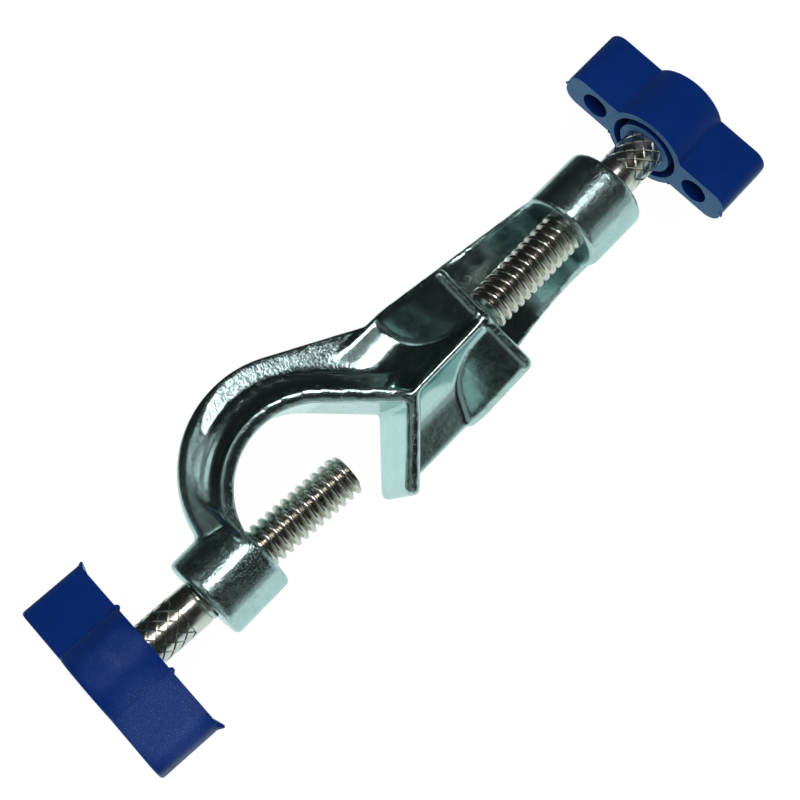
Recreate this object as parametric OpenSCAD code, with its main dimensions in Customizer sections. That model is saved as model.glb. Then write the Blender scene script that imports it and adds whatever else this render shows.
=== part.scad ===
// Boss head clamp: one die-cast body with two V-and-C jaws set square to each other,
// each closed by a thumbscrew with a moulded wing knob.
// Millimetres. The origin lies on the axis of the stand rod, at the middle of the stand
// jaw's width, and +Z runs up the stand rod. The body's long axis is X, and the cross
// jaw, at +X, holds its rod along Y.
//
// A jaw is drawn in its own coordinates: x outward along the body, y towards the back of
// its C, and z across its width. The whole body looks the same after half a turn about
// the diagonal between Y and Z, so the cross jaw is the stand jaw turned that way.

/* [Jaws] */
// Diameter of the rod that the origin is set for
rod_d = 12.7; // [6:0.1:16]
// Middle of the body to the bottom of each V
seat_u = 3.9; // [3.2:0.1:8]
// Offset of each jaw's rod line from the body's middle, towards its mouth
line_offset = 0.45; // [0:0.05:1]
// Thickness of the cast band that forms the V and the C
wall = 1.9; // [1.4:0.1:2.4]
// Length of the free lip of the V
lip_len = 11.5; // [8:0.1:14]
// Inner radius of the C
throat_r = 10.55; // [9:0.05:14]
// Width of the band at the bottom of the V
seat_w = 19.2; // [16:0.1:24]
// Fillet at the bottom of the V
seat_fillet = 0.7; // [0.3:0.1:1.5]
// Corner radius at the end of the lip
lip_corner = 0.8; // [0.3:0.1:1.5]

/* [Ribs] */
// Thickness of the spine behind each C
spine_t = 7; // [6:0.1:9]
// Rounding of the spine's outer edge
spine_edge = 2.4; // [1:0.1:2.8]
// Radius of the spine's back
spine_r = 15.35; // [13:0.05:20]
// Height of the spine's crown over the band
spine_rise = 5.7; // [3:0.1:9]
// Shift of the spine's crown from the middle of the C towards the body's middle
spine_shift = 0.4; // [0:0.1:2]
// Slope of the spine's straight run to the body's long axis
spine_slope = 27; // [15:1:35]
// Thickness of the spine where it meets the other jaw
web_t = 3.6; // [2:0.1:5]
// Thickness of the thin rib behind each lip
rib_t = 1.5; // [1:0.1:2.4]
// Reach of the thin ribs from the body's long axis
rib_reach = 8.9; // [6:0.1:9.4]
// Radius of the hollows between the ribs
hollow_r = 8; // [6:0.1:8.6]

/* [Bosses] */
// Diameter of the screw boss
boss_d = 12.2; // [10:0.1:15]
// Length of the screw boss
boss_len = 9.4; // [6:0.1:14]
// Middle of the body to the boss's inner face
boss_u = 28.9; // [28:0.1:34]

/* [Screws] */
// Outer diameter of the thread
thread_d = 6; // [5:0.1:7]
// Thread pitch
pitch = 1.27; // [1:0.01:1.5]
// Depth of the thread grooves
groove = 0.72; // [0.4:0.01:0.8]
// Length from the knob's underside to the screw's tip
screw_len = 33.2; // [30:0.1:36]
// Length of plain shank and knurl below the knob
neck_len = 8; // [6:0.1:10]
// Chamfer at the screw's tip
tip_chamfer = 0.5; // [0.2:0.1:1]
// Tilt of each screw towards its lip
screw_tilt = 4.6; // [0:0.1:8]
// Height of the screw's axis over the boss's axis at the boss's outer face
screw_offset = 0.27; // [-0.5:0.01:0.8]
// Gap between the stand knob and its boss
stand_gap = 8.6; // [8:0.1:16]
// Gap between the cross knob and its boss
cross_gap = 8; // [8:0.1:16]
// Radial running clearance round a screw
fit_gap = 0.05; // [0.02:0.01:0.1]

/* [Knobs] */
// Length of the wing knob from tip to tip
knob_len = 27.5; // [22:0.1:34]
// Height of the knob along the screw
knob_h = 9.3; // [7:0.1:13]
// Thickness of the wings
wing_t = 5.9; // [5.6:0.1:8]
// Corner radius at the ends of the wings
wing_corner = 2.2; // [1:0.1:2.7]
// Diameter of the round hub
hub_d = 12.3; // [11.6:0.1:14.4]
// Diameter of the sleeve that holds the screw
sleeve_d = 8.2; // [7.6:0.1:9]
// Diameter of the ring-shaped recess round the sleeve
recess_d = 10.4; // [9.6:0.1:11]
// Depth of the ring-shaped recess
recess_depth = 5; // [2:0.1:5.8]
// Distance of each blind hole from the screw's axis
hole_u = 8.85; // [8.5:0.05:9.5]
// Diameter of the blind holes
hole_d = 4; // [2.5:0.1:4.2]
// Depth of the blind holes
hole_depth = 6; // [2:0.1:6.2]
// Solid plastic over the end of the screw
knob_cap = 2; // [1:0.1:3]
// Clearance at the end of the screw, inside the knob
end_gap = 0.2; // [0.1:0.05:0.5]
// Turn of the stand knob about its screw
stand_turn = 67; // [-90:1:90]
// Turn of the cross knob about its screw
cross_turn = 11.5; // [-90:0.5:90]

/* [Hidden] */
$fn = 96;

// The V is a right angle, so its sides run at 45 degrees to the jaw's line.
v_run = sqrt(2);
rod_u = seat_u + v_run * rod_d / 2;
throat_u = seat_u + v_run * throat_r;
touch = throat_r / v_run;
boss_out = boss_u + boss_len;
seat_half = seat_w / 2;
taper = (seat_half - boss_d / 2) / (boss_u - seat_u);
lip_half = seat_half - taper * lip_len / v_run;

spine_half = spine_t / 2;
spine_u = throat_u - spine_shift;
spine_w = throat_r + wall + spine_rise - spine_r;
spine_depth = spine_r - 3;
// The straight run of the spine reaches past the other jaw's V, which trims it.
spine_run = spine_u + seat_u;
// The spine thins over this length on its way to the other jaw.
spine_fade = 10;

screw_r = thread_d / 2;
bore_r = screw_r + fit_gap;
knob_bore = knob_h - knob_cap;
// Far enough to cut right through, whatever the body's size
reach = boss_out + knob_len;

module stand_jaw() {
    translate([0, -line_offset, 0]) mirror([1, 0, 0]) children();
}

module cross_jaw() {
    rotate(180, [0, 1, -1]) stand_jaw() children();
}

module both_jaws() {
    stand_jaw() children();
    cross_jaw() children();
}

// Moves the body from its own middle to the stand rod's axis.
module rod_frame() {
    translate([rod_u, line_offset, 0]) children();
}

// Side view of the band: lip, V and C as one strip of even thickness.
module band_outline() {
    translate([seat_u, 0]) {
        rotate(-45) translate([-wall, -wall]) square([lip_len + wall, wall]);
        rotate(45) square([throat_r, wall]);
        rotate(45) translate([-wall, 0]) square([2 * wall, wall]);
        rotate(-45) difference() {
            square(seat_fillet);
            translate([seat_fillet, seat_fillet]) circle(seat_fillet);
        }
    }
    difference() {
        translate([throat_u, 0]) circle(throat_r + wall);
        translate([throat_u, 0]) circle(throat_r);
        polygon([
            [throat_u - reach, reach],
            [throat_u, 0],
            [boss_u + wall / 2, 0],
            [boss_u + wall / 2, reach],
            [reach, reach],
            [reach, -reach],
            [-reach, -reach],
        ]);
    }
}

// The band narrows from the V to the boss.
module band_plan() {
    polygon([
        [0, seat_half],
        [seat_u, seat_half],
        [boss_out, seat_half - taper * (boss_out - seat_u)],
        [boss_out, -seat_half + taper * (boss_out - seat_u)],
        [seat_u, -seat_half],
        [0, -seat_half],
    ]);
}

module lip_corners() {
    for (side = [-1, 1]) {
        translate([seat_u, 0, 0])
        rotate([0, 0, -45])
        mirror([0, 0, side < 0 ? 1 : 0])
        translate([lip_len - lip_corner, wall, lip_half - lip_corner])
        rotate([90, 0, 0])
        difference() {
            cube([2 * lip_corner, 2 * lip_corner, 3 * wall]);
            cylinder(r = lip_corner, h = 8 * wall, center = true);
        }
    }
}

module band() {
    difference() {
        intersection() {
            linear_extrude(2 * seat_w, center = true) band_outline();
            rotate([90, 0, 0]) linear_extrude(2 * reach, center = true) band_plan();
        }
        lip_corners();
    }
}

module boss() {
    translate([boss_u, 0, 0]) rotate([0, 90, 0]) cylinder(d = boss_d, h = boss_len);
}

// Everything inside the band, grown by half its wall, so that ribs end within the band.
module throat_space() {
    bottom = seat_u - v_run * wall / 2;
    linear_extrude(2 * reach, center = true) {
        translate([throat_u, 0]) circle(throat_r + wall / 2);
        polygon([
            [bottom, 0],
            [throat_u - touch - wall / 2, touch + wall / 2],
            [throat_u, 0],
            [reach, 0],
            [reach, bottom - reach],
        ]);
    }
}

// Section of the spine: x from the centre of its back, y across its thickness.
module spine_section() {
    translate([spine_r - spine_depth, -spine_half])
        square([spine_depth - spine_edge, spine_t]);
    translate([spine_r - spine_edge, -spine_half + spine_edge])
        square([spine_edge, spine_t - 2 * spine_edge]);
    for (side = [-1, 1])
        translate([spine_r - spine_edge, side * (spine_half - spine_edge)])
            circle(spine_edge);
}

module spine() {
    intersection() {
        translate([spine_u, spine_w, 0]) {
            rotate_extrude(angle = 90 + spine_slope) spine_section();
            rotate([0, 0, 90 + spine_slope])
            translate([0, spine_run, 0])
            rotate([90, 0, 0])
                linear_extrude(spine_run + wall) spine_section();
        }
        rotate([90, 0, 0])
        mirror([0, 0, 1])
        linear_extrude(reach)
            polygon([
                [-reach, web_t / 2],
                [-seat_u, web_t / 2],
                [spine_fade - seat_u, spine_half],
                [reach, spine_half],
                [reach, -spine_half],
                [spine_fade - seat_u, -spine_half],
                [-seat_u, -web_t / 2],
                [-reach, -web_t / 2],
            ]);
    }
}

// A round hollow along X between two ribs, in the quarter that y_side and z_side pick.
module hollow(y_side, y_rib, z_side, z_rib) {
    translate([0, y_side * (y_rib / 2 + hollow_r), z_side * (z_rib / 2 + hollow_r)])
        rotate([0, 90, 0]) cylinder(r = hollow_r, h = 2 * reach, center = true);
}

// The cross of ribs between the two jaws' bands, with a round hollow in each quarter.
module rib_cross() {
    difference() {
        translate([-seat_half - wall, -rib_reach, -seat_half])
            cube([seat_w + 2 * wall, seat_half + rib_reach, seat_half + rib_reach]);
        hollow(1, rib_t, 1, web_t);
        hollow(-1, rib_t, 1, rib_t);
        hollow(-1, web_t, -1, rib_t);
        hollow(1, web_t, -1, web_t);
    }
}

// Stands the screw's own z axis, which points out of the boss, on the boss's outer face.
module screw_axis() {
    translate([boss_out, screw_offset, 0])
    rotate([0, 0, screw_tilt])
    rotate([0, 90, 0])
        children();
}

module clamp_body() {
    color("silver")
    rod_frame()
    difference() {
        union() {
            both_jaws() band();
            both_jaws() boss();
            difference() {
                union() {
                    both_jaws() spine();
                    rib_cross();
                }
                both_jaws() throat_space();
            }
        }
        both_jaws() screw_axis()
            translate([0, 0, -boss_len - 2 * wall]) cylinder(r = bore_r, h = 2 * boss_len);
    }
}

// Half section of a screw, from its tip at z = 0 up to its end inside the knob.
module screw_section() {
    threads = floor((screw_len - neck_len - tip_chamfer) / pitch);
    start = screw_len - neck_len - threads * pitch;
    grooves = [
        for (i = [0 : threads - 1], p = [[0, 0.1], [groove, 0.45], [groove, 0.55], [0, 0.9]])
            [screw_r - p[0], start + pitch * (i + p[1])]
    ];
    polygon(concat(
        [[0, 0], [screw_r - tip_chamfer, 0], [screw_r, tip_chamfer]],
        grooves,
        [[screw_r, screw_len + knob_bore - end_gap], [0, screw_len + knob_bore - end_gap]]
    ));
}

module thumbscrew(gap) {
    color("lightslategray")
    screw_axis()
    translate([0, 0, gap - screw_len])
        rotate_extrude() screw_section();
}

module wing_outline() {
    flat_u = knob_len / 2 - wing_corner;
    flat_w = wing_t / 2 - wing_corner;
    square([2 * flat_u, wing_t], center = true);
    square([knob_len, 2 * flat_w], center = true);
    for (u = [-flat_u, flat_u], w = [-flat_w, flat_w])
        translate([u, w]) circle(wing_corner);
}

module wing_knob(gap, turn) {
    color("royalblue")
    screw_axis()
    translate([0, 0, gap])
    rotate([0, 0, turn])
    difference() {
        linear_extrude(knob_h) {
            wing_outline();
            circle(d = hub_d);
        }
        translate([0, 0, -1]) cylinder(r = bore_r, h = knob_bore + 1);
        translate([0, 0, -recess_depth]) difference() {
            cylinder(d = recess_d, h = 2 * recess_depth);
            cylinder(d = sleeve_d, h = 4 * recess_depth, center = true);
        }
        for (side = [-1, 1])
            translate([side * hole_u, 0, -1]) cylinder(d = hole_d, h = hole_depth + 1);
    }
}

module stand_screw() {
    rod_frame() stand_jaw() thumbscrew(stand_gap);
}

module cross_screw() {
    rod_frame() cross_jaw() thumbscrew(cross_gap);
}

module stand_knob() {
    rod_frame() stand_jaw() wing_knob(stand_gap, stand_turn);
}

module cross_knob() {
    rod_frame() cross_jaw() wing_knob(cross_gap, cross_turn);
}

clamp_body();
stand_screw();
stand_knob();
cross_screw();
cross_knob();
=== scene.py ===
"""Boss head clamp: the die casting, two thumbscrews and two wing knobs, with their finishes and the stage.

Sizes are in metres. A jaw is modelled in its own coordinates: x outward along the body, y towards the back of
its C, and z across its width. A thumbscrew is modelled on its own axis, with z out of the boss and z = 0 at the
underside of its knob.
"""
import math
from contextlib import contextmanager
import bmesh
import bpy
from bpy.props import FloatProperty, FloatVectorProperty, IntProperty, PointerProperty
from mathutils import Matrix, Vector


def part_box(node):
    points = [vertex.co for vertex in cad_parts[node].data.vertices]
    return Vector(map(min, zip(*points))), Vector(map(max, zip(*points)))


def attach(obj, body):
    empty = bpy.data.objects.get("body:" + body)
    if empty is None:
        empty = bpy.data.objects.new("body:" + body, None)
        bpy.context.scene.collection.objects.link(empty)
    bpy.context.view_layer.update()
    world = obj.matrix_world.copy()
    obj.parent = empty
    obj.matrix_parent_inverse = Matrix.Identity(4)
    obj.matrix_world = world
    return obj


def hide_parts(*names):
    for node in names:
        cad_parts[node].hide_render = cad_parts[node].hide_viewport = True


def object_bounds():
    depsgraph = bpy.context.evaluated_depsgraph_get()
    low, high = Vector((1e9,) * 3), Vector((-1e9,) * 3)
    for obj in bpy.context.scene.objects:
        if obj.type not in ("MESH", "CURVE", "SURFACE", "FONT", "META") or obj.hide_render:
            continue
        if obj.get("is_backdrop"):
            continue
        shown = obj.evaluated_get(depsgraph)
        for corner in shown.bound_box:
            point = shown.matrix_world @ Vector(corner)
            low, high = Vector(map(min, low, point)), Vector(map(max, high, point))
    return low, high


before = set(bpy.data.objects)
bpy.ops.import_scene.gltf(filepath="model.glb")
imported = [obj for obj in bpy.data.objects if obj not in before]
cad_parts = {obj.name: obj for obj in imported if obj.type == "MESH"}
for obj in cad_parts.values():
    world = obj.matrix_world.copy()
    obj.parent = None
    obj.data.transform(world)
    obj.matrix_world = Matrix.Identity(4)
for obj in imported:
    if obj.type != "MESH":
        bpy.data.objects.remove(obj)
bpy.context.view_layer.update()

bl_info = {
    "name": "Boss Head Clamp",
    "version": (1, 0, 0),
    "blender": (4, 5, 0),
    "location": "3D View > Sidebar > Boss Head",
    "description": "Models a laboratory boss head with its thumbscrews and wing knobs",
    "category": "Add Mesh",
}

MM = 0.001
# How near to a place a corner must lie to be picked there
NEAR = 0.01 * MM
X, Z = Vector((1, 0, 0)), Vector((0, 0, 1))
# Along the V's back wall from the V to the C, and square to it, out of the band
RUN = Vector((1, 1, 0)).normalized()
OUT = Vector((-1, 1, 0)).normalized()


def number(name, description, default, **kind):
    return FloatProperty(name=name, description=description, default=default, **kind)


def length(name, description, millimetres):
    return number(name, description, millimetres * MM, min=0, subtype="DISTANCE")


def turn(name, description, degrees):
    return number(name, description, math.radians(degrees), subtype="ANGLE")


def share(name, description, default):
    return number(name, description, default, min=0, max=1)


def triple(name, description, values, **kind):
    return FloatVectorProperty(name=name, description=description, default=values, size=3, **kind)


def colour(name, description, *channels):
    return triple(name, description, channels, min=0, max=1, subtype="COLOR")


def place(name, description, *millimetres):
    return triple(name, description, [value * MM for value in millimetres], subtype="TRANSLATION")


def turns(name, description, *degrees):
    return triple(name, description, [math.radians(angle) for angle in degrees], subtype="EULER")


class BOSSHEAD_PG_casting(bpy.types.PropertyGroup):
    wall: length("Wall", "Thickness of the band that forms the V and the C", 1.9)
    seat_u: length("Seat", "Middle of the body to the bottom of each V", 3.9)
    line_offset: length("Line offset", "Offset of each rod line from the body's middle", 0.45)
    lip_len: length("Lip", "Length of the free lip", 11.5)
    throat_r: length("Throat radius", "Inner radius of the C", 10.55)
    seat_w: length("Seat width", "Width of the band at the bottom of the V", 19.2)
    lip_corner: length("Lip corner", "Corner radius at the end of the lip", 0.8)
    spine_root: length("Spine root", "Start of the spine's section, from its centre", 3)
    spine_t: length("Spine thickness", "Thickness of the spine behind each C", 7)
    spine_edge: length("Spine rounding", "Rounding of the spine's outer edge", 2.4)
    spine_r: length("Spine radius", "Radius of the spine's back", 15.35)
    spine_rise: length("Spine rise", "Height of the spine's crown over the band", 5.7)
    spine_shift: length("Spine shift", "Shift of the crown towards the body's middle", 0.4)
    spine_slope: turn("Spine slope", "Slope of the spine's straight run", 27)
    spine_ridge: length("Spine ridge", "Outer edge of the spine to its ridge", 2.8)
    spine_fall: length("Spine fall", "Fall of the spine's side from its ridge to its outer edge", 1.1)
    cove: length("Cove", "Fillet between the band's back and the spine", 2.4)
    web_t: length("Web", "Thickness of the spine where it meets the other jaw", 3.6)
    rib_reach: length("Rib reach", "Reach of the lower thin rib from the body's long axis", 8.9)
    rib_top: length("Rib top", "Reach of the upper thin rib, flush with the band's edge", 9.85)
    rib_skew: turn("Rib skew", "Turn of the upper thin rib's flank from the body's long axis", 1.5)
    cast_edge: length("Cast edge", "Rounding of the band's cast edges", 0.8)
    boss_d: length("Boss diameter", "Diameter of the screw boss", 12.2)
    boss_len: length("Boss length", "Length of the screw boss", 9.4)
    boss_u: length("Boss place", "Middle of the body to the boss's inner face", 28.9)
    boss_edge: length("Boss edge", "Rounding of the boss's rims", 0.6)
    grain: length("Grain", "Size of the cells that fuse the casting", 0.3)
    tint: colour("Tint", "Colour of the zinc plating", 0.50, 0.65, 0.64)


class BOSSHEAD_PG_screw(bpy.types.PropertyGroup):
    thread_d: length("Thread", "Outer diameter of the thread", 6)
    pitch: length("Pitch", "Pitch of the thread", 1.27)
    groove: length("Groove", "Depth of the thread", 0.74)
    screw_len: length("Length", "Length from the knob to the tip", 33.2)
    neck_len: length("Neck", "Length of plain shank and knurl under the knob", 8)
    tip_chamfer: length("Tip chamfer", "Chamfer at the tip", 0.5)
    knurl_len: length("Knurl", "Length of the knurl under the knob", 5.4)
    knurl_groove: length("Knurl groove", "Depth of the knurl's grooves", 0.13)
    knurl_count: IntProperty(name="Knurl count", description="Diamonds round the knurl", default=10, min=4)
    screw_tilt: turn("Tilt", "Tilt of each screw towards its lip", 4.6)
    screw_offset: length("Offset", "Height of the screw's axis over the boss's axis", 0.27)
    fit_gap: length("Clearance", "Radial clearance round the screw", 0.05)
    tint: colour("Tint", "Colour of the nickel plating", 0.62, 0.60, 0.55)


class BOSSHEAD_PG_knob(bpy.types.PropertyGroup):
    stand_gap: length("Stand gap", "Gap between the stand knob and its boss", 8.6)
    cross_gap: length("Cross gap", "Gap between the cross knob and its boss", 8)
    stand_turn: turn("Stand turn", "Turn of the stand knob about its screw", 67)
    cross_turn: turn("Cross turn", "Turn of the cross knob about its screw", 11.5)
    knob_len: length("Length", "Length of the knob from tip to tip", 27.5)
    knob_h: length("Height", "Height of the knob along the screw", 9.3)
    wing_t: length("Wing", "Thickness of the wings", 5.9)
    wing_corner: length("Wing corner", "Corner radius at the ends of the wings", 2.2)
    hub_d: length("Hub", "Diameter of the round hub", 12.3)
    sleeve_d: length("Sleeve", "Diameter of the sleeve that holds the screw", 8.2)
    recess_d: length("Recess", "Diameter of the ring-shaped recess", 10.4)
    recess_depth: length("Recess depth", "Depth of the ring-shaped recess", 5)
    hole_u: length("Hole place", "Distance of each blind hole from the axis", 8.85)
    hole_d: length("Hole", "Diameter of the blind holes", 4)
    hole_depth: length("Hole depth", "Depth of the blind holes", 6)
    knob_cap: length("Cap", "Solid plastic over the end of the screw", 2)
    end_gap: length("End gap", "Gap over the end of the screw, inside the knob", 0.2)
    edge: length("Edge", "Rounding of the moulded edges", 0.45)
    flash: length("Flash", "Height of the thin flash on the moulded edges", 0.8)
    tint: colour("Tint", "Colour of the plastic", 0.002, 0.019, 0.13)


class BOSSHEAD_PG_stage(bpy.types.PropertyGroup):
    floor: colour("Floor", "Colour of the floor", 0.95, 0.95, 0.95)
    shadow: share("Shadow", "Share of the floor's shadow that the camera sees", 0.07)
    paper: colour("Paper", "Colour of the white paper in gloss", 0.86, 1, 0.97)
    paper_edge: length("Paper edge", "Where the white paper ends for gloss, behind the clamp", 19)
    paper_fade: length("Paper fade", "Half the width over which the paper's edge fades", 4)
    room: share("Room", "Brightness of the dark room in gloss", 0.018)
    fill: number("Fill", "Brightness of the plain fill light", 0.15, min=0, max=2)
    card: share("Card", "Brightness of the white card in gloss", 0.5)
    card_turn: turn("Card turn", "Direction of the white card, about the vertical", -53)
    card_spread: turn("Card spread", "Half the width of the white card", 42)
    strip_power: number("Strip lamp", "Power of the strip lamp", 2.3, min=0, unit="POWER")
    strip_place: place("Strip lamp place", "Place of the strip lamp", 155, 320, 860)
    soft_power: number("Soft lamp", "Power of the soft lamp, which gloss does not see", 9, min=0, unit="POWER")
    soft_place: place("Soft lamp place", "Place of the soft lamp", -100, -100, 1100)
    camera_place: place("Camera place", "Place of the camera", -35.93, 17.7, 221.12)
    camera_turns: turns("Camera turns", "Turns of the camera about X, Y and Z", 5.27, -11.54, -45.5)
    lens: number("Lens", "Focal length of the camera, in millimetres", 78.75, min=10, max=300)


class BOSSHEAD_PG_settings(bpy.types.PropertyGroup):
    casting: PointerProperty(type=BOSSHEAD_PG_casting)
    screw: PointerProperty(type=BOSSHEAD_PG_screw)
    knob: PointerProperty(type=BOSSHEAD_PG_knob)
    stage: PointerProperty(type=BOSSHEAD_PG_stage)


# ---- hand tools


def only(*objects):
    """Selects these objects and nothing else, and makes the first active."""
    bpy.ops.object.select_all(action="DESELECT")
    for obj in objects:
        obj.select_set(True)
    bpy.context.view_layer.objects.active = objects[0]
    return objects[0]


@contextmanager
def editing(obj):
    only(obj)
    bpy.ops.object.mode_set(mode="EDIT")
    bpy.ops.mesh.select_mode(type="VERT")
    bpy.ops.mesh.select_all(action="SELECT")
    yield
    bpy.ops.object.mode_set(mode="OBJECT")


def choose(obj, kind, test):
    """In edit mode, selects the vertices or edges that pass the test."""
    bpy.ops.mesh.select_mode(type=kind)
    bpy.ops.mesh.select_all(action="DESELECT")
    mesh = bmesh.from_edit_mesh(obj.data)
    for item in mesh.verts if kind == "VERT" else mesh.edges:
        if test(item):
            item.select_set(True)
    mesh.select_flush_mode()
    bmesh.update_edit_mesh(obj.data)


def pick_vertices(obj, test):
    choose(obj, "VERT", lambda vertex: test(vertex.co))


def pick_edges(obj, test):
    """In edit mode, selects the edges with both ends where the test says."""
    choose(obj, "EDGE", lambda edge: all(test(end.co) for end in edge.verts))


def drop(edge):
    """How far apart an edge's ends lie along z."""
    return abs(edge.verts[0].co.z - edge.verts[1].co.z)


def added(name, primitive, **values):
    bpy.ops.object.select_all(action="DESELECT")
    getattr(bpy.ops.mesh, f"primitive_{primitive}_add")(**values)
    obj = bpy.context.object
    obj.name = name
    bpy.ops.object.transform_apply(location=True, rotation=True, scale=True)
    return obj


def cylinder(name, radius, low, high, vertices=96, axis=Z, centre=(0, 0, 0)):
    """A cylinder along an axis, from low to high on it."""
    rotation = Z.rotation_difference(axis).to_euler()
    location = Vector(centre) + axis * (low + high) / 2
    size = {"vertices": vertices, "radius": radius, "depth": high - low}
    return added(name, "cylinder", location=location, rotation=rotation, **size)


def block(name, low, high):
    obj = added(name, "cube", size=1)
    low, high = Vector(low), Vector(high)
    return placed(obj, Matrix.Translation((low + high) / 2) @ Matrix.Diagonal((*(high - low), 1)))


def extrude(step):
    bpy.ops.mesh.extrude_region_move(TRANSFORM_OT_translate={"value": tuple(step)})


def modified(obj, kind, **values):
    only(obj)
    bpy.ops.object.modifier_add(type=kind)
    modifier = obj.modifiers[-1]
    for name, value in values.items():
        setattr(modifier, name, value)
    bpy.ops.object.modifier_apply(modifier=modifier.name)
    return obj


def combined(obj, tool, operation):
    modified(obj, "BOOLEAN", object=tool, operation=operation, solver="EXACT")
    bpy.data.objects.remove(tool)
    return obj


def rounded(obj, radius):
    """Rounds every sharp edge."""
    sharp = {"limit_method": "ANGLE", "angle_limit": math.radians(50)}
    return modified(obj, "BEVEL", width=radius, segments=3, **sharp)


def facing_out(obj):
    with editing(obj):
        bpy.ops.mesh.remove_doubles(threshold=0.002 * MM)
        bpy.ops.mesh.normals_make_consistent(inside=False)
    return obj


def placed(obj, matrix):
    """Moves the mesh and leaves the object at the origin, unturned."""
    obj.matrix_world = matrix
    only(obj)
    bpy.ops.object.transform_apply(location=True, rotation=True, scale=True)
    return facing_out(obj) if matrix.determinant() < 0 else obj


def copied(obj, name):
    twin = obj.copy()
    twin.data = obj.data.copy()
    twin.name = name
    bpy.context.scene.collection.objects.link(twin)
    return twin


def joined(first, *others):
    only(first, *others)
    bpy.ops.object.join()
    return first


def cut(obj, point, normal):
    """Cuts away what lies beyond a plane, on its normal's side, and closes the cut."""
    with editing(obj):
        bpy.ops.mesh.bisect(plane_co=point, plane_no=normal, clear_outer=True, use_fill=True, threshold=1e-7)
    return obj


def finished(obj, name, material, body, node):
    obj.name = name
    obj.data.name = name
    obj.data.materials.clear()
    obj.data.materials.append(material)
    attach(obj, body)
    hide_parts(node)


# ---- places


def body_middle(casting):
    low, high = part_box("clamp_body")
    return Vector(((low.x + high.x) / 2, casting.line_offset, 0))


def half_turn():
    """The half turn about the diagonal between Y and Z that takes the stand jaw to the cross jaw."""
    return Matrix.Rotation(math.pi, 4, Vector((0, 1, -1)))


def seat(casting):
    """The inner corner of a jaw's V, in the jaw's coordinates."""
    return Vector((casting.seat_u, 0, 0))


def throat_u(casting):
    return casting.seat_u + math.sqrt(2) * casting.throat_r


def throat(casting):
    """The middle of a jaw's C, in the jaw's coordinates."""
    return Vector((throat_u(casting), 0, 0))


def spine_centre(casting):
    """The middle of the spine's round back, in the jaw's coordinates."""
    rise = casting.throat_r + casting.wall + casting.spine_rise - casting.spine_r
    return Vector((throat_u(casting) - casting.spine_shift, rise, 0))


def jaw_places(casting):
    middle = Matrix.Translation(body_middle(casting))
    stand = Matrix.Translation((0, -casting.line_offset, 0)) @ Matrix.Diagonal((-1, 1, 1, 1))
    return {"stand": middle @ stand, "cross": middle @ half_turn() @ stand}


def screw_places(settings):
    """Each screw's own z axis stands on its boss's outer face, tilted towards the lip."""
    casting, screw, knob = settings.casting, settings.screw, settings.knob
    gaps = {"stand": knob.stand_gap, "cross": knob.cross_gap}
    axis = (
        Matrix.Translation((casting.boss_u + casting.boss_len, screw.screw_offset, 0))
        @ Matrix.Rotation(screw.screw_tilt, 4, "Z")
        @ Matrix.Rotation(math.pi / 2, 4, "Y")
        @ Matrix.Diagonal((-1, 1, 1, 1))
    )
    return {jaw: at @ axis @ Matrix.Translation((0, 0, gaps[jaw])) for jaw, at in jaw_places(casting).items()}


# ---- casting


def strip_end(name, corner, across, thick, width):
    """The flat end of a strip: thick along `across` from the corner, and width about the jaw's middle plane."""
    obj = added(name, "plane", size=1)
    columns = Matrix((across * thick, Z * width, across.cross(Z))).transposed().to_4x4()
    return placed(obj, Matrix.Translation(corner + across * thick / 2) @ columns)


def swept(strip, casting):
    """Runs a strip's end up the V's back wall and round the C, as far as the boss."""
    with editing(strip):
        extrude(RUN * casting.throat_r)
        bpy.ops.mesh.spin(steps=60, angle=math.radians(135), center=throat(casting), axis=Z)
    facing_out(strip)
    return cut(strip, (casting.boss_u + casting.wall / 2, 0, 0), X)


def band(casting):
    """The bent strip: the V's back wall, the C and the free lip."""
    apex = seat(casting)
    strip = swept(strip_end("band", apex, OUT, casting.wall, casting.seat_w), casting)
    lip = strip_end("lip", apex + OUT * casting.wall, -RUN, casting.wall, casting.seat_w)
    with editing(lip):
        extrude(-OUT * (casting.lip_len + casting.wall))
    facing_out(lip)
    half = casting.seat_w / 2
    taper = (half - casting.boss_d / 2) / (casting.boss_u - casting.seat_u)
    for part in (strip, lip):
        for side in (1, -1):
            cut(part, (casting.seat_u, 0, side * half), (taper, 0, side))

    def at_end(edge):
        return all((end.co - apex).dot(-OUT) > casting.lip_len - NEAR for end in edge.verts)

    with editing(lip):
        choose(lip, "EDGE", lambda edge: at_end(edge) and drop(edge) <= casting.lip_corner)
        bpy.ops.mesh.bevel(offset=casting.lip_corner, segments=5)
    return joined(rounded(strip, casting.cast_edge), rounded(lip, casting.cast_edge))


def cove(casting):
    """The fillet that runs along the band's back on both sides of the spine."""
    apex = seat(casting)
    sunk = casting.wall / 2
    width = casting.spine_t + 2 * casting.cove
    strip = strip_end("cove", apex + OUT * sunk, OUT, sunk + casting.cove, width)
    with editing(strip):
        pick_vertices(strip, lambda co: (co - apex).dot(OUT) > casting.wall + casting.cove / 2)
        bpy.ops.mesh.bevel(offset=casting.cove, segments=8, profile=0.09, affect="VERTICES")
    return swept(strip, casting)


def boss(casting):
    out = casting.boss_u + casting.boss_len
    obj = cylinder("boss", casting.boss_d / 2, casting.boss_u, out, axis=X)
    with editing(obj):
        for end in (casting.boss_u, out):
            pick_edges(obj, lambda co: abs(co.x - end) < NEAR)
            bpy.ops.mesh.bevel(offset=casting.boss_edge, segments=4)
    return obj


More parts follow.
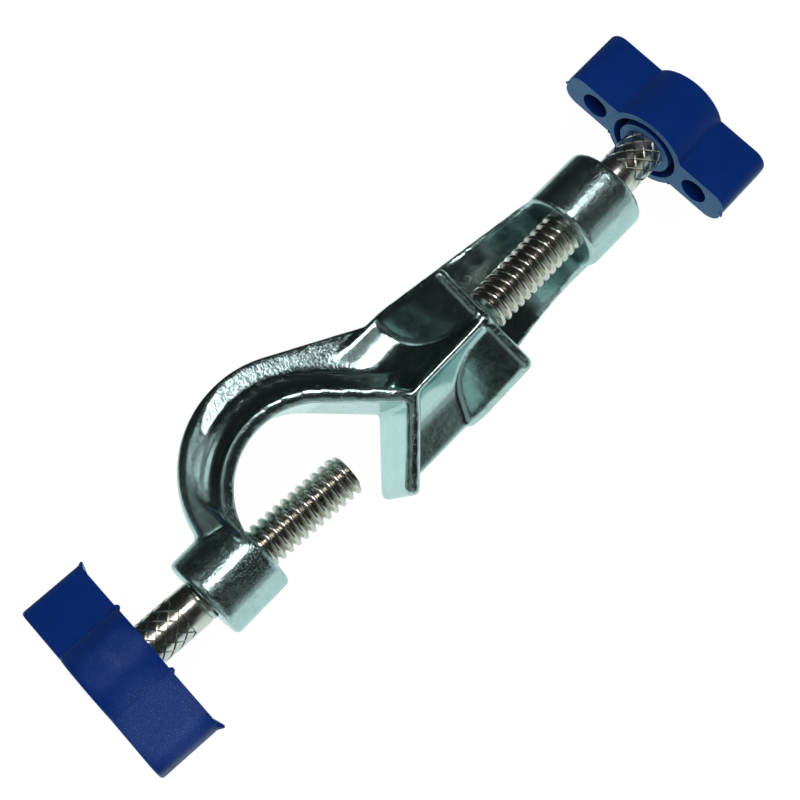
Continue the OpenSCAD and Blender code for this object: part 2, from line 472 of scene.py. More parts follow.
def throat_space(casting):
    """Everything inside the band, grown by half its wall, so that ribs end within the band."""
    radius = casting.throat_r + casting.wall / 2
    apex = Vector((casting.seat_u - casting.wall / math.sqrt(2), 0, 0))
    width = 3 * casting.seat_w
    slot = strip_end("throat", apex, RUN, radius, width)
    with editing(slot):
        extrude(-OUT * 6 * radius)
    facing_out(slot)
    c_space = cylinder("c_space", radius, -width / 2, width / 2, centre=throat(casting))
    return combined(slot, c_space, "UNION")


def spine(casting):
    """The thick rounded rib behind the C, spun round its own centre and run on straight to the other jaw."""
    centre, root = spine_centre(casting), casting.spine_root
    outer = centre.x + casting.spine_r
    obj = strip_end("spine", centre + X * root, X, casting.spine_r - root, casting.spine_t)
    with editing(obj):
        pick_vertices(obj, lambda co: co.x > outer - NEAR)
        bpy.ops.mesh.bevel(offset=casting.spine_fall, segments=1, affect="VERTICES")
        pick_vertices(obj, lambda co: outer - 2 * casting.spine_fall < co.x < outer - NEAR)
        bpy.ops.transform.translate(value=X * (casting.spine_fall - casting.spine_ridge))
        pick_vertices(obj, lambda co: co.x > outer - NEAR)
        bpy.ops.mesh.bevel(offset=casting.spine_edge / 2, segments=6, affect="VERTICES")
        pick_vertices(obj, lambda co: abs(co.x - outer + casting.spine_ridge) < NEAR)
        bpy.ops.mesh.bevel(offset=casting.spine_ridge / 2, segments=5, affect="VERTICES")
        bpy.ops.mesh.select_all(action="SELECT")
        sweep = math.pi / 2 + casting.spine_slope
        bpy.ops.mesh.spin(steps=56, angle=-sweep, center=centre, axis=Z)
        extrude(Vector((-math.sin(sweep), math.cos(sweep), 0)) * (centre.x + casting.seat_u + casting.wall))
    facing_out(obj)
    # Where the spine is as thick as the web, and how fast it thickens outward and thins towards its crown
    foot, thickens, thins = Vector((4.4, 6.5, 0)) * MM, 0.14, 0.15
    for side in (1, -1):
        cut(obj, foot + Z * side * casting.web_t / 2, (-thickens, thins, side))
    return obj


def hollow(name, corner, flank, floor, rounding):
    """A hollow along the body, out from a rounded corner; corner and rounding in mm, and how its walls lean."""
    far = 20 * MM
    corner = [value * MM for value in corner]
    side, up = (math.copysign(1, value) for value in corner)
    obj = block(name, (-far, *corner), (far, corner[0] + side * far, corner[1] + up * far))
    with editing(obj):
        pick_vertices(obj, lambda co: abs(co.y - corner[0]) < far / 2 < abs(co.z - corner[1]))
        bpy.ops.transform.translate(value=(0, -side * far * math.tan(flank), 0))
        pick_vertices(obj, lambda co: abs(co.z - corner[1]) < far / 2 < abs(co.y - corner[0]))
        bpy.ops.transform.translate(value=(0, 0, -up * far * math.tan(floor)))
        pick_edges(obj, lambda co: (Vector(co.yz) - Vector(corner)).length < NEAR)
        bpy.ops.mesh.bevel(offset=rounding * MM, segments=20)
    return facing_out(obj)


def rib_cross(casting):
    """The cross of ribs between the two jaws, with a round-cornered hollow in each quarter."""
    half = casting.seat_w / 2
    end = half + casting.wall
    obj = block("ribs", (-end, -casting.rib_reach, -half), (end, half, casting.rib_top))
    draft, lean, rise, slope = (math.radians(angle) for angle in (7, 12, 10, 22))
    # Beside the spine, the hollow's floor runs flatter from this place on
    flat_from, flat_slope = (0, 7.2 * MM, 1.58 * MM), 0.06
    for turned in (Matrix.Rotation(casting.rib_skew, 4, "Z"), half_turn()):
        beside = cut(hollow("hollow", (1.7, 2.55), lean, rise, 4.2), flat_from, (0, -flat_slope, -1))
        combined(obj, placed(beside, turned), "DIFFERENCE")
    combined(obj, hollow("pocket", (-1.3, 4.05), draft, slope, 4), "DIFFERENCE")
    combined(obj, hollow("back_hollow", (2, -2), draft, draft, 5.6), "DIFFERENCE")
    return placed(obj, Matrix.Translation(body_middle(casting)))


class BOSSHEAD_OT_casting(bpy.types.Operator):
    """Model the die casting with its two jaws, ribs and bosses"""

    bl_idname = "bosshead.casting"
    bl_label = "Casting"

    def execute(self, context):
        settings = context.scene.boss_head
        casting, screw = settings.casting, settings.screw
        jaws = jaw_places(casting).values()
        ribs = rib_cross(casting)
        for make, operation in ((spine, "UNION"), (throat_space, "DIFFERENCE")):
            for jaw in jaws:
                combined(ribs, placed(make(casting), jaw), operation)
        parts = [placed(make(casting), jaw) for jaw in jaws for make in (band, boss, cove)]
        body = joined(ribs, *parts)
        modified(body, "REMESH", mode="VOXEL", voxel_size=casting.grain)
        modified(body, "SMOOTH", factor=0.5, iterations=8)
        bore = screw.thread_d / 2 + screw.fit_gap
        for at in screw_places(settings).values():
            drill = cylinder("drill", bore, -3 * casting.boss_len, 0, vertices=64)
            combined(body, placed(drill, at), "DIFFERENCE")
        only(body)
        bpy.ops.object.shade_smooth_by_angle(angle=math.radians(40))
        finished(body, "casting", zinc_plate(casting), "body", "clamp_body")
        return {"FINISHED"}


# ---- thumbscrews


def thread(screw):
    """One thread form swept up a true helix, closed at both ends, with a chamfered tip."""
    crest, root = screw.thread_d / 2, screw.thread_d / 2 - screw.groove
    pitch, low = screw.pitch, -screw.screw_len
    shoulder = 0.06 * MM
    # The thread's form over one turn: how far out, and how far on in pitches
    form = [
        (crest - shoulder, -0.19),
        (crest - shoulder / 4, -0.13),
        (crest, 0),
        (crest - shoulder / 4, 0.13),
        (crest - shoulder, 0.19),
        (root + shoulder, 0.47),
        (root, 0.5),
        (root + shoulder, 0.53),
        (crest - shoulder, 0.81),
    ]
    start = low - 1.5 * pitch
    rounds = math.ceil((screw.screw_len - screw.neck_len) / pitch) + 3
    obj = added("thread", "plane", size=MM)
    with editing(obj):
        bpy.ops.mesh.merge(type="CENTER")
        bpy.ops.transform.translate(value=(form[0][0], 0, start))
    with editing(obj):
        for (r0, z0), (r1, z1) in zip(form, form[1:]):
            extrude((r1 - r0, 0, (z1 - z0) * pitch))
    modified(obj, "SCREW", axis="Z", screw_offset=pitch, iterations=rounds, steps=48, render_steps=48)
    facing_out(obj)
    cut(obj, (0, 0, low), -Z)
    cut(obj, (0, 0, -screw.neck_len), Z)
    facing_out(obj)
    envelope = cylinder("envelope", crest + screw.tip_chamfer, low, 0, vertices=64)
    with editing(envelope):
        pick_edges(envelope, lambda co: co.z < low + NEAR)
        bpy.ops.mesh.bevel(offset=2 * screw.tip_chamfer, segments=1)
    return combined(obj, envelope, "INTERSECT")


def knurl(screw, top):
    """A flat sheet of diamonds, bent round into a sleeve and closed at both ends."""
    radius = screw.thread_d / 2 - screw.knurl_groove
    around = 2 * math.pi * radius
    cell = around / screw.knurl_count
    rows = math.ceil((screw.knurl_len + top) / cell)
    obj = added("knurl", "grid", x_subdivisions=screw.knurl_count, y_subdivisions=rows, size=1)
    placed(obj, Matrix.Rotation(math.pi / 2, 4, "X") @ Matrix.Diagonal((around, rows * cell, 1, 1)))
    count = len(obj.data.vertices)
    with editing(obj):
        bpy.ops.mesh.poke()
        shaded_corners = set(bmesh.from_edit_mesh(obj.data).verts[:count])
        choose(obj, "EDGE", lambda edge: set(edge.verts) <= shaded_corners and not edge.is_boundary)
        bpy.ops.mesh.dissolve_edges(use_verts=False)
        bpy.ops.mesh.select_mode(type="FACE")
        bpy.ops.mesh.select_all(action="SELECT")
        groove = screw.knurl_groove
        bpy.ops.mesh.inset(thickness=groove, depth=groove, use_individual=True, use_boundary=False)
        bpy.ops.mesh.select_all(action="SELECT")
        bpy.ops.mesh.subdivide(number_cuts=3)
    modified(obj, "SIMPLE_DEFORM", deform_method="BEND", deform_axis="Z", angle=2 * math.pi)
    placed(obj, Matrix.Translation((0, -radius, rows * cell / 2 - screw.knurl_len)))
    with editing(obj):
        bpy.ops.mesh.remove_doubles(threshold=0.02 * MM)
        bpy.ops.mesh.fill_holes(sides=0)
    return facing_out(obj)


def thumbscrew(screw, top):
    """Thread, plain shank and knurl in one closed mesh, up to its end inside the knob."""
    obj = thread(screw)
    shank = cylinder("shank", screw.thread_d / 2, -screw.neck_len - screw.tip_chamfer, top)
    with editing(shank):
        pick_edges(shank, lambda co: co.z < -screw.neck_len)
        bpy.ops.mesh.bevel(offset=screw.groove, segments=2)
    core = cylinder("core", screw.thread_d / 2 + screw.knurl_groove, -screw.knurl_len, 2 * top)
    combined(shank, core, "DIFFERENCE")
    combined(obj, shank, "UNION")
    return combined(obj, knurl(screw, top), "UNION")


class BOSSHEAD_OT_thumbscrews(bpy.types.Operator):
    """Model both thumbscrews, with a true helical thread and a diamond knurl"""

    bl_idname = "bosshead.thumbscrews"
    bl_label = "Thumbscrews"

    def execute(self, context):
        settings = context.scene.boss_head
        knob = settings.knob
        top = knob.knob_h - knob.knob_cap - knob.end_gap
        screw = thumbscrew(settings.screw, top)
        only(screw)
        bpy.ops.object.shade_smooth_by_angle(angle=math.radians(28))
        material = nickel_plate(settings.screw)
        twin = copied(screw, "twin")
        for obj, (jaw, at) in zip((screw, twin), screw_places(settings).items()):
            placed(obj, at)
            finished(obj, f"{jaw}_thumbscrew", material, f"{jaw}_knob", f"{jaw}_screw")
        return {"FINISHED"}


# ---- wing knobs


def wing_knob(knob, screw):
    """Two wings and a hub, with the recess, the blind holes and the screw's socket in the underside."""
    half = Vector((knob.knob_len, knob.wing_t, 0)) / 2
    obj = block("knob", (-half.x, -half.y, 0), (half.x, half.y, knob.knob_h))
    with editing(obj):
        choose(obj, "EDGE", lambda edge: drop(edge) > knob.edge)
        bpy.ops.mesh.bevel(offset=knob.wing_corner, segments=8)
    hub = cylinder("hub", knob.hub_d / 2, 0, knob.knob_h, vertices=128)
    for part in (obj, hub):
        with editing(part):
            pick_edges(part, lambda co: co.z > knob.knob_h - NEAR)
            bpy.ops.mesh.bevel(offset=knob.edge, segments=4)
    combined(obj, hub, "UNION")
    ring = cylinder("recess", knob.recess_d / 2, -MM, knob.recess_depth)
    sleeve = cylinder("sleeve", knob.sleeve_d / 2, -2 * MM, 2 * knob.recess_depth)
    combined(obj, combined(ring, sleeve, "DIFFERENCE"), "DIFFERENCE")
    for side in (-1, 1):
        at = (side * knob.hole_u, 0, 0)
        hole = cylinder("hole", knob.hole_d / 2, -MM, knob.hole_depth, vertices=48, centre=at)
        combined(obj, hole, "DIFFERENCE")
    socket = cylinder("socket", screw.thread_d / 2 + screw.fit_gap, -MM, knob.knob_h - knob.knob_cap)
    return combined(obj, socket, "DIFFERENCE")


def flash_fin(at, toward, reach, flat, height):
    """A thin blunt fin of flash, half sunk in the edge it stands on, and pressed flat by a scale."""
    rotation = Z.rotation_difference(Vector(toward)).to_euler()
    size = {"vertices": 9, "radius1": reach, "radius2": reach / 4, "depth": height, "scale": flat}
    return added("flash", "cone", location=at, rotation=rotation, **size)


def with_flash(obj, knob, amount):
    """Leaves flash at the wings' ends and where the wings meet the hub."""
    height = amount * knob.flash
    out = math.sqrt(knob.hub_d**2 - knob.wing_t**2) / 2
    for side in (-1, 1):
        wing_end, junction = (side * knob.knob_len / 2, 0, 0), (side * out, knob.wing_t / 2, 0)
        fin = flash_fin(wing_end, (side, 0, -0.8), 1.8 * height, (0.5, 1, 1), 1.7 * height)
        nub = flash_fin(junction, (0, 0.3, -1), 1.1 * height, (1, 0.4, 1), height)
        combined(combined(obj, fin, "UNION"), nub, "UNION")
    return obj


class BOSSHEAD_OT_knobs(bpy.types.Operator):
    """Model both moulded wing knobs"""

    bl_idname = "bosshead.knobs"
    bl_label = "Wing knobs"

    def execute(self, context):
        settings = context.scene.boss_head
        knob = settings.knob
        first = wing_knob(knob, settings.screw)
        twin = with_flash(copied(first, "twin"), knob, 0.45)
        only(with_flash(first, knob, 1), twin)
        bpy.ops.object.shade_smooth_by_angle(angle=math.radians(30))
        material = blue_plastic(settings)
        turned = {"stand": knob.stand_turn, "cross": knob.cross_turn}
        for obj, (jaw, at) in zip((first, twin), screw_places(settings).items()):
            placed(obj, at @ Matrix.Rotation(-turned[jaw], 4, "Z"))
            finished(obj, f"{jaw}_wing_knob", material, f"{jaw}_knob", f"{jaw}_knob")
        return {"FINISHED"}


# ---- finishes


def feed(tree, socket, value):
    """Links a socket to another node's, or gives it a value."""
    if isinstance(value, bpy.types.NodeSocket):
        tree.links.new(value, socket)
    else:
        socket.default_value = value


def noded(tree, kind, feeds=None, **settings):
    """Adds a shader node; feeds are values or other nodes' sockets, by the input's name or place."""
    made = tree.nodes.new(f"ShaderNode{kind}")
    for name, value in settings.items():
        setattr(made, name, value)
    for name, value in (feeds or {}).items():
        feed(tree, made.inputs[name], value)
    return made


def counted(tree, operation, *terms):
    """One sum; terms are numbers or sockets."""
    return noded(tree, "Math", dict(enumerate(terms)), operation=operation).outputs[0]


def times(tree, product, *others):
    for term in others:
        product = counted(tree, "MULTIPLY", product, term)
    return product


def measured(tree, operation, first, second):
    """The distance or the dot product of two vectors."""
    return noded(tree, "VectorMath", {0: first, 1: second}, operation=operation).outputs["Value"]


def ranged(tree, value, low, high, to_low=0.0, to_high=1.0, smooth=True):
    feeds = {"Value": value, "From Min": low, "From Max": high, "To Min": to_low, "To Max": to_high}
    kind = "SMOOTHSTEP" if smooth else "LINEAR"
    return noded(tree, "MapRange", feeds, interpolation_type=kind).outputs[0]


def blended(tree, amount, first, second):
    """Mixes two colours."""
    mixer = noded(tree, "Mix", {"Factor": amount}, data_type="RGBA")
    for socket, value in ((mixer.inputs[6], first), (mixer.inputs[7], second)):
        feed(tree, socket, value if isinstance(value, bpy.types.NodeSocket) else (*value, 1))
    return mixer.outputs[2]


def spots(tree, where, size, detail):
    """Noise whose spots are about this big."""
    feeds = {"Vector": where, "Scale": 1 / size, "Detail": detail, "Roughness": 0.5}
    return noded(tree, "TexNoise", feeds).outputs["Fac"]


def group_of(name, inputs, outputs):
    """A new node group with named sockets, ready to fill."""
    tree = bpy.data.node_groups.new(name, "ShaderNodeTree")
    for direction, sockets in (("INPUT", inputs), ("OUTPUT", outputs)):
        for label, kind, *value in sockets:
            socket = tree.interface.new_socket(name=label, in_out=direction, socket_type=f"NodeSocket{kind}")
            if value:
                socket.default_value = value[0]
    return tree, tree.nodes.new("NodeGroupInput").outputs, tree.nodes.new("NodeGroupOutput").inputs


def grain_group(name):
    """Fine grain of a cast, plated or moulded skin: soft bumps with sharper flecks among them."""
    tree, given, put = group_of(
        name,
        [("Where", "Vector"), ("Grain Size", "Float", 0.0004), ("Fleck Share", "Float", 0.3)],
        [("Height", "Float"), ("Flecks", "Float")],
    )
    scale = counted(tree, "DIVIDE", 1.0, given["Grain Size"])
    soft = noded(tree, "TexNoise", {"Vector": given["Where"], "Scale": scale, "Detail": 3.0}).outputs["Fac"]
    fine = times(tree, scale, 1.7)
    cells = noded(tree, "TexVoronoi", {"Vector": given["Where"], "Scale": fine}, feature="SMOOTH_F1")
    flecks = ranged(tree, cells.outputs["Distance"], 0.32, 0.08)
    lifted = times(tree, flecks, given["Fleck Share"])
    tree.links.new(counted(tree, "ADD", soft, lifted), put["Height"])
    tree.links.new(flecks, put["Flecks"])
    return tree


def patch_group(name):
    """Uneven patches, as a plating bath, handling or a mould leaves them."""
    tree, given, put = group_of(
        name,
        [("Where", "Vector"), ("Patch Size", "Float", 0.004), ("Spread", "Float", 0.5)],
        [("Patches", "Float"), ("Clouds", "Float")],
    )
    scale = counted(tree, "DIVIDE", 1.0, given["Patch Size"])
    feeds = {"Vector": given["Where"], "Scale": scale, "Detail": 4.0, "Roughness": 0.62}
    clouds = noded(tree, "TexNoise", feeds).outputs["Fac"]
    half = times(tree, given["Spread"], 0.25)
    low, high = counted(tree, "SUBTRACT", 0.5, half), counted(tree, "ADD", 0.5, half)
    tree.links.new(ranged(tree, clouds, low, high), put["Patches"])
    tree.links.new(clouds, put["Clouds"])
    return tree


def wear_group(name):
    """Rubbed edges and concave corners, from how sharp the surface turns, broken up by patches."""
    tree, given, put = group_of(
        name,
        [("Patches", "Float"), ("Reach", "Float", 0.05)],
        [("Edges", "Float"), ("Corners", "Float")],
    )
    turned = noded(tree, "NewGeometry").outputs["Pointiness"]
    broken = counted(tree, "MULTIPLY_ADD", given["Patches"], -0.02, turned)
    top = counted(tree, "ADD", given["Reach"], 0.5)
    bottom = counted(tree, "SUBTRACT", 0.5, given["Reach"])
    tree.links.new(ranged(tree, broken, 0.5, top), put["Edges"])
    tree.links.new(ranged(tree, turned, 0.5, bottom), put["Corners"])
    return tree


GROUPS = {"skin_grain": grain_group, "uneven_patches": patch_group, "edge_wear": wear_group}


def grouped(tree, name, **feeds):
    """Adds a node group, which is built on first use."""
    group = bpy.data.node_groups.get(name) or GROUPS[name](name)
    used = noded(tree, "Group", node_tree=group)
    for label, value in feeds.items():
        feed(tree, used.inputs[label.replace("_", " ").title()], value)
    return used.outputs


def material_base(name, tint, metallic, roughness):
    material = bpy.data.materials.new(name)
    material.use_nodes = True
    tree = material.node_tree
    shader = tree.nodes["Principled BSDF"]
    shader.inputs["Base Color"].default_value = (*tint, 1)
    shader.inputs["Metallic"].default_value = metallic
    shader.inputs["Roughness"].default_value = roughness
    return material, tree, shader, noded(tree, "TexCoord").outputs["Object"]


def finish(tree, shader, colour, roughness, *bumps):
    """Feeds the shader its colour, its roughness, and bumps that add up, each a height and its depth in mm."""
    tree.links.new(colour, shader.inputs["Base Color"])
    tree.links.new(roughness, shader.inputs["Roughness"])
    normal = None
    for height, depth in bumps:
        feeds = {"Height": height, "Distance": depth * MM, "Strength": 1.0}
        if normal:
            feeds["Normal"] = normal
        normal = noded(tree, "Bump", feeds).outputs[0]
    tree.links.new(normal, shader.inputs["Normal"])


def tone(tint, factor):
    return tuple(channel * factor for channel in tint)


def outside_of_jaws(tree, where, casting):
    """Masks the rougher skin: the outer part of each spine, and less of it on the bosses."""
    middle, centre = body_middle(casting).x, spine_centre(casting)
    inner, outer = casting.spine_r - 3 * MM, casting.spine_r - 1.7 * MM
    at = noded(tree, "SeparateXYZ", {"Vector": where}).outputs
    along = counted(tree, "SUBTRACT", at["X"], middle)
    mask = ranged(tree, counted(tree, "ABSOLUTE", along), casting.boss_u - 2 * MM, casting.boss_u, 0, 0.45)
    for flatten, side, back in (((1, 1, 0), -1, at["Y"]), ((1, 0, 1), 1, at["Z"])):
        flat = noded(tree, "VectorMath", {0: where, 1: flatten}, operation="MULTIPLY").outputs[0]
        rise = -side * centre.y
        around = (middle + side * centre.x, rise * flatten[1], rise * flatten[2])
        skin = ranged(tree, measured(tree, "DISTANCE", flat, around), inner, outer)
        past_middle = ranged(tree, along, side * MM, side * 6 * MM)
        behind = ranged(tree, back, side * 2 * MM, -side * 2 * MM)
        mask = counted(tree, "MAXIMUM", mask, times(tree, skin, past_middle, behind))
    return mask


def zinc_plate(casting):
    """Bright zinc plate with a blue passivate over the die-cast skin."""
    material, tree, shader, where = material_base("zinc_plate", casting.tint, 1, 0.2)
    shader.inputs["Specular Tint"].default_value = (0.85, 0.95, 0.94, 1)
    grain = grouped(tree, "skin_grain", where=where, grain_size=0.34 * MM, fleck_share=0.5)
    fine = grouped(tree, "skin_grain", where=where, grain_size=0.15 * MM, fleck_share=0.2)
    bath = grouped(tree, "uneven_patches", where=where, patch_size=3.5 * MM, spread=0.8)
    dull = grouped(tree, "uneven_patches", where=where, patch_size=1.1 * MM, spread=0.5)
    wear = grouped(tree, "edge_wear", patches=dull["Patches"], reach=0.035)
    edges, shaded_corners = wear["Edges"], wear["Corners"]
    skin = counted(tree, "MULTIPLY_ADD", outside_of_jaws(tree, where, casting), 0.9, 0.1)
    skin = counted(tree, "MAXIMUM", skin, edges)
    lumps = spots(tree, where, 0.9 * MM, 1)
    # Flow lines of the metal, drawn out along the body
    drawn_out = noded(tree, "Mapping", {"Vector": where, "Scale": (0.08, 1, 1)}).outputs[0]
    flow = spots(tree, drawn_out, 0.45 * MM, 3)
    lines = ranged(tree, flow, 0.42, 0.62)

    grey, pale = tone(casting.tint, 0.9), (0.62, 0.70, 0.69)
    shade_and_flow_dark, pitted = (0.30, 0.42, 0.44), (0.12, 0.17, 0.18)
    colour = blended(tree, bath["Patches"], casting.tint, grey)
    # Painted shade: concave corners are darkened towards a deep blue-grey; the same colour also draws the flow
    # lines
    colour = blended(tree, times(tree, shaded_corners, 0.55), colour, shade_and_flow_dark)
    colour = blended(tree, times(tree, edges, 0.5), colour, pale)
    colour = blended(tree, times(tree, lines, 0.12), colour, shade_and_flow_dark)
    pits = counted(tree, "MAXIMUM", fine["Flecks"], times(tree, grain["Flecks"], 0.8))
    colour = blended(tree, times(tree, pits, skin, 0.7), colour, pitted)

    rough = ranged(tree, dull["Clouds"], 0.35, 0.7, 0.1, 0.2, smooth=False)
    rough = counted(tree, "MULTIPLY_ADD", skin, 0.05, rough)
    uneven = times(tree, grain["Height"], counted(tree, "MULTIPLY_ADD", dull["Patches"], 0.5, 0.5), skin)
    specks, nicks = times(tree, fine["Flecks"], skin), times(tree, grain["Flecks"], edges)
    bumps = (lumps, 0.01), (flow, 0.002), (uneven, 0.035), (specks, 0.03), (nicks, 0.05)
    finish(tree, shader, colour, rough, *bumps)
    return material


def nickel_plate(screw):
    """Nickel plate over rolled steel, a little warm, with stains, darker and browner in the roots, and rubbed
    crests.
    """
    material, tree, shader, where = material_base("nickel_plate", screw.tint, 1, 0.14)
    grain = grouped(tree, "skin_grain", where=where, grain_size=0.22 * MM, fleck_share=0.2)
    stain = grouped(tree, "uneven_patches", where=where, patch_size=1.6 * MM, spread=0.7)
    wear = grouped(tree, "edge_wear", patches=stain["Patches"], reach=0.08)
    dark, pale, root_brown = tone(screw.tint, 0.72), (0.72, 0.71, 0.65), (0.34, 0.31, 0.24)
    colour = blended(tree, times(tree, stain["Patches"], 0.3), screw.tint, dark)
    # Darker and browner in the concave roots and grooves
    colour = blended(tree, times(tree, wear["Corners"], 0.5), colour, root_brown)
    colour = blended(tree, times(tree, wear["Edges"], 0.4), colour, pale)
    rough = ranged(tree, stain["Clouds"], 0.3, 0.7, 0.16, 0.3, smooth=False)
    finish(tree, shader, colour, rough, (grain["Height"], 0.004))
    return material


# Scuffs and painted highlights on the stand knob: a scuff on its lower wing and the lamp's highlight painted on
# its hub; place on the knob and reach in millimetres, and strength
SCUFFS_AND_HIGHLIGHTS = (((8.8, 2.9, 4.6), 7, 1.1), ((0.2, 6, 2.8), 3.4, 0.5), ((0.2, 6, 6.2), 3.4, 0.4))


def scuff_and_highlight_mask(tree, where, settings):
    """Masks the scuff on the stand knob's lower wing and the lamp's highlight painted on its hub."""
    knob = screw_places(settings)["stand"] @ Matrix.Rotation(-settings.knob.stand_turn, 4, "Z")
    scuff_and_highlight_amount = 0.0
    for spot, reach, strength in SCUFFS_AND_HIGHLIGHTS:
        away = measured(tree, "DISTANCE", where, tuple(knob @ (Vector(spot) * MM)))
        scuff_and_highlight_amount = counted(tree, "ADD", scuff_and_highlight_amount, ranged(tree, away, reach * MM, reach * MM / 2, 0.0, strength))
    return scuff_and_highlight_amount


def blue_plastic(settings):
    """Royal blue moulded plastic with a fine satin skin, with the white paper's bounce light painted as a paler
    blue on the undersides and tops of the knobs.
    """
    tint = settings.knob.tint
    material, tree, shader, where = material_base("blue_plastic", tint, 0, 0.42)
    for name, value in (("IOR", 1.15), ("Sheen Weight", 0.1), ("Sheen Roughness", 0.45)):
        shader.inputs[name].default_value = value
    shader.inputs["Sheen Tint"].default_value = (0.25, 0.62, 1, 1)
    grain = grouped(tree, "skin_grain", where=where, grain_size=0.2 * MM, fleck_share=0.35)
    soft = grouped(tree, "uneven_patches", where=where, patch_size=6 * MM, spread=0.9)
    rub = grouped(tree, "uneven_patches", where=where, patch_size=1.5 * MM, spread=0.6)
    light, scuff_and_highlight_chalk, painted_bounce_blue = tone(tint, 1.12), (0.25, 0.38, 0.75), (0.075, 0.19, 0.37)
    colour = blended(tree, soft["Patches"], tint, light)
    # Painted light: faces that look along X, the knobs' undersides and tops, are made paler in place of the
    # white paper's bounce light, broken up by patches
    facing = noded(tree, "SeparateXYZ", {"Vector": noded(tree, "TexCoord").outputs["Normal"]}).outputs["X"]
    bounce_lit_ends = ranged(tree, counted(tree, "ABSOLUTE", facing), 0.75, 0.95)
    bounce_lit_ends = times(tree, bounce_lit_ends, counted(tree, "MULTIPLY_ADD", rub["Patches"], 0.2, 0.8))
    colour = blended(tree, bounce_lit_ends, colour, painted_bounce_blue)
    # Paler speckled blue: a scuff on the stand knob's wing, and the lamp's highlight painted on its hub
    frost = counted(tree, "MULTIPLY_ADD", grain["Flecks"], 0.25, 0.05)
    colour = blended(tree, times(tree, scuff_and_highlight_mask(tree, where, settings), frost), colour, scuff_and_highlight_chalk)
    rough = ranged(tree, rub["Clouds"], 0.3, 0.7, 0.3, 0.42, smooth=False)
    finish(tree, shader, colour, rough, (soft["Clouds"], 0.05), (grain["Height"], 0.012))
    return material


# ---- stage


def lamp(name, at, aim, size, watts, in_gloss):
    """A flat lamp that faces its aim, with its long side along the body."""
    bpy.ops.object.light_add(type="AREA")
    light = bpy.context.object
    light.name = name
    back = (Vector(at) - aim).normalized()
    side = (X - back * X.dot(back)).normalized()
    turned = Matrix((side, back.cross(side), back)).transposed().to_4x4()
    light.matrix_world = Matrix.Translation(at) @ turned
    light.data.shape = "RECTANGLE"
    light.data.size, light.data.size_y = size
    light.data.energy = watts
    light.visible_glossy = in_gloss


def seen_by_rays(tree, output, plain, gloss, camera):
    """Feeds the output: what gloss and glass see, what the camera sees, and the plain one for the rest."""
    path = noded(tree, "LightPath").outputs
    shiny = counted(tree, "MAXIMUM", path["Is Glossy Ray"], path["Is Transmission Ray"])
    first = noded(tree, "MixShader", {"Fac": shiny, 1: plain, 2: gloss}).outputs[0]
    seen = noded(tree, "MixShader", {"Fac": path["Is Camera Ray"], 1: first, 2: camera}).outputs[0]
    tree.links.new(seen, tree.nodes[output].inputs["Surface"])


def pale_floor(stage):
    """White paper that keeps a soft shadow; gloss sees it white up to its edge."""
    material, tree, shader, where = material_base("pale_floor", stage.floor, 0, 0.9)
    across = noded(tree, "SeparateXYZ", {"Vector": where}).outputs["Y"]
    edge, fade = stage.paper_edge, stage.paper_fade
    sheet = ranged(tree, across, edge + fade, edge - fade, stage.room, 1.0)
    # A little over 1, because the floor's own share is a little under it
    white = noded(tree, "Emission", {"Color": (1, 1, 1, 1), "Strength": 1.035}).outputs[0]
    paper = noded(tree, "Emission", {"Color": (*stage.paper, 1), "Strength": sheet}).outputs[0]
    plain = shader.outputs[0]
    shadowed = noded(tree, "MixShader", {"Fac": stage.shadow, 1: white, 2: plain}).outputs[0]
    seen_by_rays(tree, "Material Output", plain, paper, shadowed)
    return material


# Walls of the room in gloss: the way to each, its brightness, and the cosines where it starts and is full
WALLS = (
    ((-0.6, -0.45, 0.66), 0.4, 0.8, 0.97),
    ((-0.5, 0.5, 0.7), 0.25, 0.8, 0.97),
    ((-0.36, 0.66, 0.66), 1, 0.965, 0.992),
)


def studio_world(stage):
    """White for the camera; for gloss, a dark room with a white card, a low strip of light and three walls."""
    world = bpy.data.worlds.new("studio")
    world.use_nodes = True
    tree = world.node_tree
    plain = tree.nodes["Background"]
    plain.inputs["Color"].default_value = (0.9, 0.95, 1, 1)
    plain.inputs["Strength"].default_value = stage.fill
    toward = noded(tree, "TexCoord").outputs["Generated"]
    card = Vector((math.cos(stage.card_turn), math.sin(stage.card_turn), 0))
    edge, fade = math.cos(stage.card_spread), 0.07
    card_seen = ranged(tree, measured(tree, "DOT_PRODUCT", toward, card), edge - fade, edge + fade)
    way = noded(tree, "SeparateXYZ", {"Vector": toward}).outputs
    strip = times(tree, ranged(tree, way["Z"], 0.34, 0.26), ranged(tree, way["Y"], -0.15, -0.45))
    bright = counted(tree, "MAXIMUM", times(tree, card_seen, stage.card), strip)
    for wall, shade, rim, full in WALLS:
        faced = measured(tree, "DOT_PRODUCT", toward, Vector(wall).normalized())
        bright = counted(tree, "MAXIMUM", bright, ranged(tree, faced, rim, full, 0.0, shade))
    bright = ranged(tree, bright, 0, 1, stage.room, 1.0)
    gloss = noded(tree, "Background", {"Color": (*stage.paper, 1), "Strength": bright}).outputs[0]
    camera = noded(tree, "Background", {"Color": (1, 1, 1, 1)}).outputs[0]
    seen_by_rays(tree, "World Output", plain.outputs[0], gloss, camera)
    return world


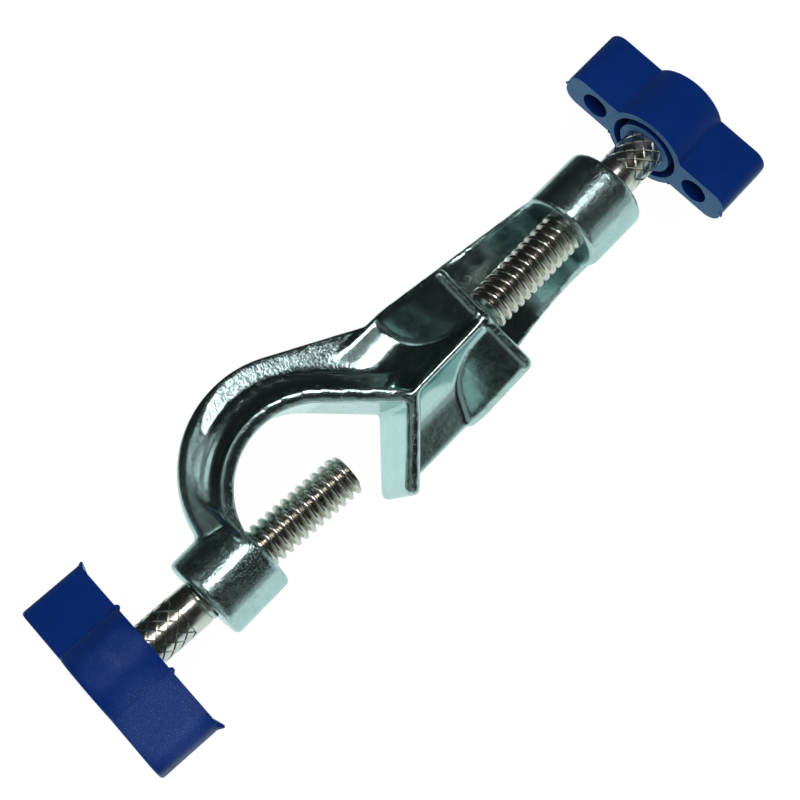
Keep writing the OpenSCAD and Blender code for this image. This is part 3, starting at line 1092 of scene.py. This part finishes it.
class BOSSHEAD_OT_stage(bpy.types.Operator):
    """Lay the floor, set the lamps and the world, and place the camera"""

    bl_idname = "bosshead.stage"
    bl_label = "Stage"

    def execute(self, context):
        stage = context.scene.boss_head.stage
        lowest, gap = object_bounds()[0].z, 0.05 * MM
        floor = added("floor", "plane", size=4, location=(0, 0, lowest - gap))
        floor.data.materials.append(pale_floor(stage))
        floor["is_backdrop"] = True
        context.scene.world = studio_world(stage)
        middle = body_middle(context.scene.boss_head.casting)
        lamp("strip_lamp", stage.strip_place, middle, (0.36, 0.2), stage.strip_power, True)
        lamp("soft_lamp", stage.soft_place, middle, (0.9, 0.9), stage.soft_power, False)

        bpy.ops.object.camera_add(location=stage.camera_place, rotation=stage.camera_turns)
        camera = context.scene.camera = bpy.context.object
        camera.data.lens = stage.lens
        camera.data.clip_start = MM
        context.scene.view_settings.view_transform = "Standard"
        return {"FINISHED"}


class BOSSHEAD_PT_panel(bpy.types.Panel):
    bl_label = "Boss head clamp"
    bl_idname = "BOSSHEAD_PT_panel"
    bl_space_type = "VIEW_3D"
    bl_region_type = "UI"
    bl_category = "Boss Head"

    def draw(self, context):
        settings = context.scene.boss_head
        for group, operator in (
            (settings.casting, "bosshead.casting"),
            (settings.screw, "bosshead.thumbscrews"),
            (settings.knob, "bosshead.knobs"),
            (settings.stage, "bosshead.stage"),
        ):
            box = self.layout.box()
            for name in group.bl_rna.properties.keys():
                if name not in {"rna_type", "name"}:
                    box.prop(group, name)
            box.operator(operator)


CLASSES = (
    BOSSHEAD_PG_casting,
    BOSSHEAD_PG_screw,
    BOSSHEAD_PG_knob,
    BOSSHEAD_PG_stage,
    BOSSHEAD_PG_settings,
    BOSSHEAD_OT_casting,
    BOSSHEAD_OT_thumbscrews,
    BOSSHEAD_OT_knobs,
    BOSSHEAD_OT_stage,
    BOSSHEAD_PT_panel,
)


def register():
    for item in CLASSES:
        bpy.utils.register_class(item)
    bpy.types.Scene.boss_head = PointerProperty(type=BOSSHEAD_PG_settings)


def unregister():
    del bpy.types.Scene.boss_head
    for item in reversed(CLASSES):
        bpy.utils.unregister_class(item)


def main():
    register()
    bpy.ops.bosshead.casting()
    bpy.ops.bosshead.thumbscrews()
    bpy.ops.bosshead.knobs()
    bpy.ops.bosshead.stage()


if __name__ == "__main__":
    main()
